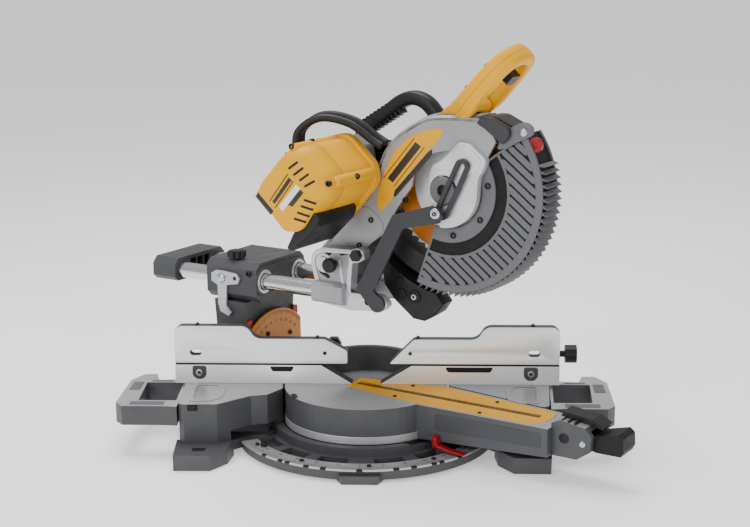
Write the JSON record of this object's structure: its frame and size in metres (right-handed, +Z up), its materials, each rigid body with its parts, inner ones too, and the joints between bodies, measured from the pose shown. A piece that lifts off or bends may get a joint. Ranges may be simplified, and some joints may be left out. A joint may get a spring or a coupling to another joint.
{
  "type": "sliding miter saw",
  "caption": "Double-bevel sliding miter saw with a raised head, twin horizontal rails, sliding fences and a turntable arm.",
  "frame": {"origin": "centre of the base's middle pad, on the miter axis, on the bench", "axes": "+Z up, +X along the fence to the operator's right, +Y away from the operator"},
  "size_m": [0.7638, 0.4776, 0.6182],
  "materials": {
    "dark_casting": "satin",
    "light_casting": "satin",
    "machined": "satin",
    "steel": "satin",
    "yellow_plastic": "satin",
    "black_plastic": "matte",
    "grey_plastic": "matte",
    "red_plastic": "gloss",
    "belt_rubber": "matte",
    "copper_windings": "satin"
  },
  "bodies": {
    "base": {"base_casting": "dark_casting", "detent_plate": "machined", "left_end_handle": "light_casting", "right_end_handle": "light_casting", "fixed_fence": "machined", "center_pivot_bolt": "steel"},
    "left_fence": {"left_sliding_fence": "machined"},
    "right_fence": {"right_sliding_fence": "machined"},
    "left_fence_knob": {"left_fence_knob": "black_plastic"},
    "right_fence_knob": {"right_fence_knob": "black_plastic"},
    "turntable": {"turntable": "dark_casting", "kerf_plate": "yellow_plastic", "miter_pointer": "red_plastic", "bevel_pivot_shaft": "steel", "bevel_scale": "yellow_plastic"},
    "miter_rod": {"miter_lock_rod": "steel"},
    "miter_handle": {"miter_lock_handle": "black_plastic"},
    "miter_latch": {"miter_latch_lever": "black_plastic"},
    "bevel_lock": {"bevel_lock_lever": "black_plastic"},
    "bevel_head": {"bevel_housing": "dark_casting", "left_rail_bushing": "machined", "right_rail_bushing": "machined", "left_bevel_pointer": "red_plastic", "right_bevel_pointer": "red_plastic"},
    "rail_lock": {"rail_lock_knob": "black_plastic"},
    "slide_lock": {"slide_lock_lever": "steel"},
    "carriage": {"left_rail": "steel", "right_rail": "steel", "rail_end_cap": "dark_casting", "rail_bracket": "light_casting", "plunge_shaft": "steel", "plunge_spring": "steel", "depth_stop_bolt": "steel"},
    "lock_pin": {"lock_down_pin": "black_plastic"},
    "head": {"head_casting": "light_casting", "guard_hub_plate": "light_casting", "front_shroud": "black_plastic", "motor_housing": "yellow_plastic", "motor_end_cap": "yellow_plastic", "motor_base": "black_plastic", "stator": "copper_windings", "belt_cover": "dark_casting", "drive_belt": "belt_rubber", "carry_handle": "black_plastic", "handle_upper_shell": "yellow_plastic", "handle_lower_shell": "yellow_plastic", "dust_chute": "black_plastic", "head_cable": "belt_rubber"},
    "arbor": {"spindle": "steel", "blade": "steel", "outer_flange": "steel", "arbor_bolt": "steel"},
    "rotor": {"rotor": "steel"},
    "trigger": {"trigger": "black_plastic"},
    "lock_off": {"lock_off_button": "black_plastic"},
    "spindle_lock": {"spindle_lock_button": "black_plastic"},
    "guard": {"lower_guard": "grey_plastic", "guard_roller": "red_plastic"},
    "guard_bar": {"guard_slot_bar": "grey_plastic"},
    "guard_link": {"guard_link": "grey_plastic"}
  },
  "joints": [
    {"name": "miter_turn", "type": "hinge", "parent": "base", "child": "turntable", "pos_m": [0, 0, 0], "axis": [0, 0, 1], "range_deg": [-110, 0]},
    {"name": "bevel_tilt", "type": "hinge", "parent": "turntable", "child": "bevel_head", "pos_m": [-0.15588, 0.09, 0.0845], "axis": [-0.866, 0.5, 0], "range_deg": [-10, 48]},
    {"name": "rail_slide", "type": "slide", "parent": "bevel_head", "child": "carriage", "axis": [-0.866, 0.5, 0], "range_m": [-0.06, 0.098]},
    {"name": "head_plunge", "type": "hinge", "parent": "carriage", "child": "head", "pos_m": [-0.03585, 0.0207, 0.2823], "axis": [-0.5, -0.866, 0], "range_deg": [-57, 0]},
    {"name": "guard_swing", "type": "hinge", "parent": "head", "child": "guard", "pos_m": [0.13682, -0.07899, 0.40799], "axis": [0.5, 0.866, 0], "range_deg": [-149, 0]},
    {"name": "guard_bar_swing", "type": "hinge", "parent": "head", "child": "guard_bar", "pos_m": [0.13682, -0.07899, 0.40799], "axis": [0.5, 0.866, 0], "range_deg": [0, 14]},
    {"name": "guard_link_swing", "type": "hinge", "parent": "carriage", "child": "guard_link", "pos_m": [0.0485, -0.028, 0.232], "axis": [0.5, 0.866, 0], "range_deg": [0, 79]},
    {"name": "blade_spin", "type": "hinge", "parent": "head", "child": "arbor", "pos_m": [0.13682, -0.07899, 0.40799], "axis": [0.5, 0.866, 0], "continuous": true},
    {"name": "motor_spin", "type": "hinge", "parent": "head", "child": "rotor", "pos_m": [-0.01315, 0.00759, 0.41701], "axis": [0.5, 0.866, 0], "continuous": true},
    {"name": "trigger_pull", "type": "slide", "parent": "head", "child": "trigger", "axis": [0.5906, -0.341, 0.7314], "range_m": [0, 0.004], "stiffness_N_per_m": 600, "springref_m": -0.001},
    {"name": "lock_off_press", "type": "slide", "parent": "head", "child": "lock_off", "axis": [0.6334, -0.3657, -0.682], "range_m": [0, 0.002], "stiffness_N_per_m": 600, "springref_m": -0.001},
    {"name": "spindle_lock_press", "type": "slide", "parent": "head", "child": "spindle_lock", "axis": [-0.5, -0.866, 0], "range_m": [0, 0.003], "stiffness_N_per_m": 800, "springref_m": -0.001},
    {"name": "left_fence_slide", "type": "slide", "parent": "base", "child": "left_fence", "axis": [-1, 0, 0], "range_m": [0, 0.1]},
    {"name": "right_fence_slide", "type": "slide", "parent": "base", "child": "right_fence", "axis": [1, 0, 0], "range_m": [0, 0.1]},
    {"name": "left_fence_knob_turn", "type": "hinge", "parent": "left_fence", "child": "left_fence_knob", "pos_m": [-0.052, 0.03, 0.139], "axis": [0, 1, 0], "continuous": true},
    {"name": "right_fence_knob_turn", "type": "hinge", "parent": "right_fence", "child": "right_fence_knob", "pos_m": [0.31, 0.01, 0.132], "axis": [1, 0, 0], "continuous": true},
    {"name": "miter_handle_lift", "type": "hinge", "parent": "turntable", "child": "miter_handle", "pos_m": [0.32909, -0.19, 0.066], "axis": [0.5, 0.866, 0], "range_deg": [-8, 10]},
    {"name": "miter_latch_tip", "type": "hinge", "parent": "turntable", "child": "miter_latch", "pos_m": [0.29791, -0.172, 0.101], "axis": [0.5, 0.866, 0], "range_deg": [-12, 0]},
    {"name": "miter_rod_push", "type": "slide", "parent": "turntable", "child": "miter_rod", "axis": [-0.866, 0.5, 0], "range_m": [0, 0.004]},
    {"name": "rail_lock_turn", "type": "hinge", "parent": "bevel_head", "child": "rail_lock", "pos_m": [-0.2061, 0.06703, 0.27], "axis": [0, 0, 1], "continuous": true},
    {"name": "slide_lock_turn", "type": "hinge", "parent": "bevel_head", "child": "slide_lock", "pos_m": [-0.2062, 0.04284, 0.242], "axis": [0.5, 0.866, 0], "range_deg": [-8, 25]},
    {"name": "bevel_lock_turn", "type": "hinge", "parent": "turntable", "child": "bevel_lock", "pos_m": [-0.22084, 0.1275, 0.0845], "axis": [-0.866, 0.5, 0], "range_deg": [-30, 30]},
    {"name": "lock_pin_pull", "type": "slide", "parent": "carriage", "child": "lock_pin", "axis": [-0.5, -0.866, 0], "range_m": [0, 0.012]}
  ],
  "couplings": [
    {"joint": "guard_swing", "follows": "head_plunge", "ratio": 2.6},
    {"joint": "guard_bar_swing", "follows": "head_plunge", "ratio": -0.233},
    {"joint": "guard_link_swing", "follows": "head_plunge", "ratio": -1.37},
    {"joint": "motor_spin", "follows": "blade_spin", "ratio": 1.9}
  ]
}
